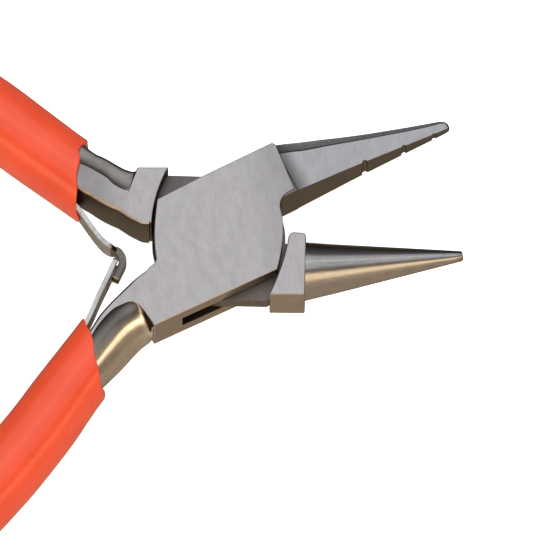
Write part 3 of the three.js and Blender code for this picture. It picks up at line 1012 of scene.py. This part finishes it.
TURN = 12.55 * DEG  # of the view about the pivot
TILT = 19.0 * DEG  # of the camera off the pivot's axis
RIGHT = Vector((math.cos(TURN), -math.sin(TURN), 0))
AWAY = Vector((math.sin(TURN), math.cos(TURN), 0))
UP = Vector((0, 0, 1))
AIM = RIGHT * 0.009624 + AWAY * -0.005908 + UP * 0.005  # middle of the view
VIEW_WIDTH = 0.09402
SKY = [  # degrees from the far horizon over the zenith to the near horizon and below, colour
    (0, (0.05, 0.045, 0.045)), (22, (0.09, 0.085, 0.085)), (40, (0.2, 0.2, 0.2)),
    (52, (0.78, 0.78, 0.80)), (65, (0.80, 0.80, 0.82)),
    (68, (1.2, 1.2, 1.2)), (74, (1.2, 1.2, 1.2)), (77, (0.80, 0.80, 0.82)),
    (94, (0.83, 0.83, 0.85)), (106, (0.34, 0.30, 0.28)),
    (116, (0.24, 0.18, 0.12)), (124, (1.1, 0.85, 0.55)), (130, (2.2, 1.75, 1.15)),
    (148, (2.0, 1.5, 0.95)), (158, (0.85, 0.64, 0.44)), (185, (0.62, 0.48, 0.35)),
    (225, (0.56, 0.44, 0.32)), (275, (0.34, 0.26, 0.18)), (320, (0.12, 0.1, 0.08)),
    (360, (0.05, 0.045, 0.045))]
BEND = 40  # degrees that the lights bend at the far left and right


def floor():
    """Large plain sheet just below the part."""
    size, low = 3.0, CAD_BOX[0].z - 0.0002
    corners = [(-size, -size, low), (size, -size, low), (size, size, low), (-size, size, low)]
    mesh = bpy.data.meshes.new("floor")
    mesh.from_pydata(corners, [], [(0, 1, 2, 3)])
    obj = bpy.data.objects.new("floor", mesh)
    bpy.context.scene.collection.objects.link(obj)
    m = Nodes("floor")
    m.set(Base_Color=(0.85, 0.85, 0.85, 1), Roughness=0.9, Emission_Color=(1, 1, 1, 1),
          Emission_Strength=0.85)
    mesh.materials.append(m.material)
    obj.visible_glossy = False


def world():
    """Long soft lights across the view: white beyond, warm on the near side, brown below."""
    sky = bpy.data.worlds.new("studio")
    bpy.context.scene.world = sky
    sky.use_nodes = True
    tree = sky.node_tree
    add, link = tree.nodes.new, tree.links.new
    here = add("ShaderNodeTexCoord")

    def along(axis):
        dot = add("ShaderNodeVectorMath")
        dot.operation = "DOT_PRODUCT"
        dot.inputs[1].default_value = axis
        link(here.outputs["Generated"], dot.inputs[0])
        return dot.outputs["Value"]

    angle = add("ShaderNodeMath")
    angle.operation = "ARCTAN2"
    link(along(-UP), angle.inputs[0])
    link(along(-AWAY), angle.inputs[1])
    share = add("ShaderNodeMath")
    share.operation = "MULTIPLY_ADD"
    share.inputs[1].default_value = 0.5 / math.pi
    share.inputs[2].default_value = 0.5
    link(angle.outputs[0], share.inputs[0])
    ramp = add("ShaderNodeValToRGB")
    elements = ramp.color_ramp.elements
    for k, (degrees, colour) in enumerate(SKY):
        if k < 2:
            element = elements[k]
            element.position = degrees / 360
        else:
            element = elements.new(degrees / 360)
        element.color = (*colour, 1)
    link(ramp.outputs["Color"], tree.nodes["Background"].inputs["Color"])
    sideways = add("ShaderNodeMath")  # the lights bend and fade to the left and right
    sideways.operation = "ABSOLUTE"
    link(along(RIGHT), sideways.inputs[0])
    bend = add("ShaderNodeMath")
    bend.operation = "POWER"
    bend.inputs[1].default_value = 2
    link(sideways.outputs[0], bend.inputs[0])
    bent = add("ShaderNodeMath")
    bent.operation = "MULTIPLY_ADD"
    bent.inputs[1].default_value = BEND / 360
    link(bend.outputs[0], bent.inputs[0])
    link(share.outputs[0], bent.inputs[2])
    link(bent.outputs[0], ramp.inputs["Fac"])
    fade = add("ShaderNodeMapRange")
    fade.interpolation_type = "SMOOTHSTEP"
    for key, value in (("From Min", 0.1), ("From Max", 0.9), ("To Min", 1.0), ("To Max", 0.6)):
        fade.inputs[key].default_value = value
    link(sideways.outputs[0], fade.inputs["Value"])
    link(fade.outputs["Result"], tree.nodes["Background"].inputs["Strength"])


def light(name, where, aim, size, power, colour):
    data = bpy.data.lights.new(name, "AREA")
    data.shape, data.size, data.size_y = "RECTANGLE", size[0], size[1]
    data.energy, data.color = power, colour
    obj = bpy.data.objects.new(name, data)
    obj.location = where
    obj.rotation_mode = "QUATERNION"
    obj.rotation_quaternion = (where - aim).to_track_quat("Z", "Y")
    obj.visible_glossy = False
    bpy.context.scene.collection.objects.link(obj)


def camera():
    distance, sensor = 3.0, 36.0
    back = (UP * math.cos(TILT) - AWAY * math.sin(TILT)).normalized()
    data = bpy.data.cameras.new("camera")
    data.sensor_width = sensor
    data.lens = sensor * distance / VIEW_WIDTH
    data.clip_start, data.clip_end = 0.01, 10
    obj = bpy.data.objects.new("camera", data)
    up = back.cross(RIGHT)
    obj.matrix_world = Matrix((
        (RIGHT.x, up.x, back.x, AIM.x + back.x * distance),
        (RIGHT.y, up.y, back.y, AIM.y + back.y * distance),
        (RIGHT.z, up.z, back.z, AIM.z + back.z * distance),
        (0, 0, 0, 1)))
    bpy.context.scene.collection.objects.link(obj)
    bpy.context.scene.camera = obj


floor()
world()
CENTRE = Vector((0, 0, 0.005))
light("far", AWAY * 0.5 + UP * 0.6, CENTRE, size=(0.9, 0.5), power=5, colour=(1, 1, 1))
light("near", AWAY * -0.5 + UP * 0.5, CENTRE, size=(0.8, 0.3), power=3,
      colour=(1, 0.95, 0.88))
camera()
bpy.context.scene.view_settings.view_transform = "Standard"
